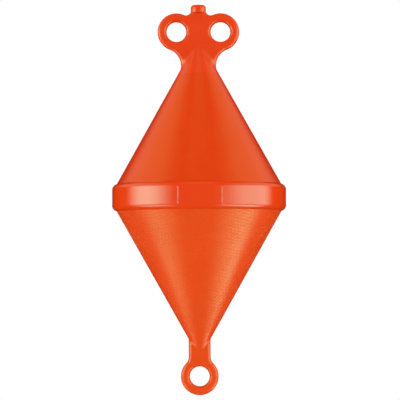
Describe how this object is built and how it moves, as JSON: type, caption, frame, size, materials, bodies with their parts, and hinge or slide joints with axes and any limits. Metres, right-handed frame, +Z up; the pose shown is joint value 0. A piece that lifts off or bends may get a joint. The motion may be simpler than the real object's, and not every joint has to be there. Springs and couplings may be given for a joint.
{
  "type": "mooring buoy",
  "caption": "Biconical orange mooring buoy with a round-edged belt, a diamond-textured lower cone and moulded shackle eyes at both ends; it floats upright and carries a mooring line.",
  "frame": {"origin": "on the buoy's axis at the middle of its belt, taken as the waterline", "axes": "+Z up along the axis towards the twin-eye head, +X across the head's eyes, all eyes open along Y, and the bare panel of the belt faces -Y"},
  "size_m": [0.18, 0.18, 0.404],
  "materials": {
    "moulded_orange": "satin moulded",
    "textured_orange": "satin with a fine diamond texture",
    "belt_orange": "gloss"
  },
  "bodies": {
    "root": {"head": "moulded_orange", "filler_plug": "moulded_orange", "upper_cone": "moulded_orange", "belt": "belt_orange", "lower_cone": "textured_orange", "foot": "moulded_orange"}
  },
  "joints": []
}
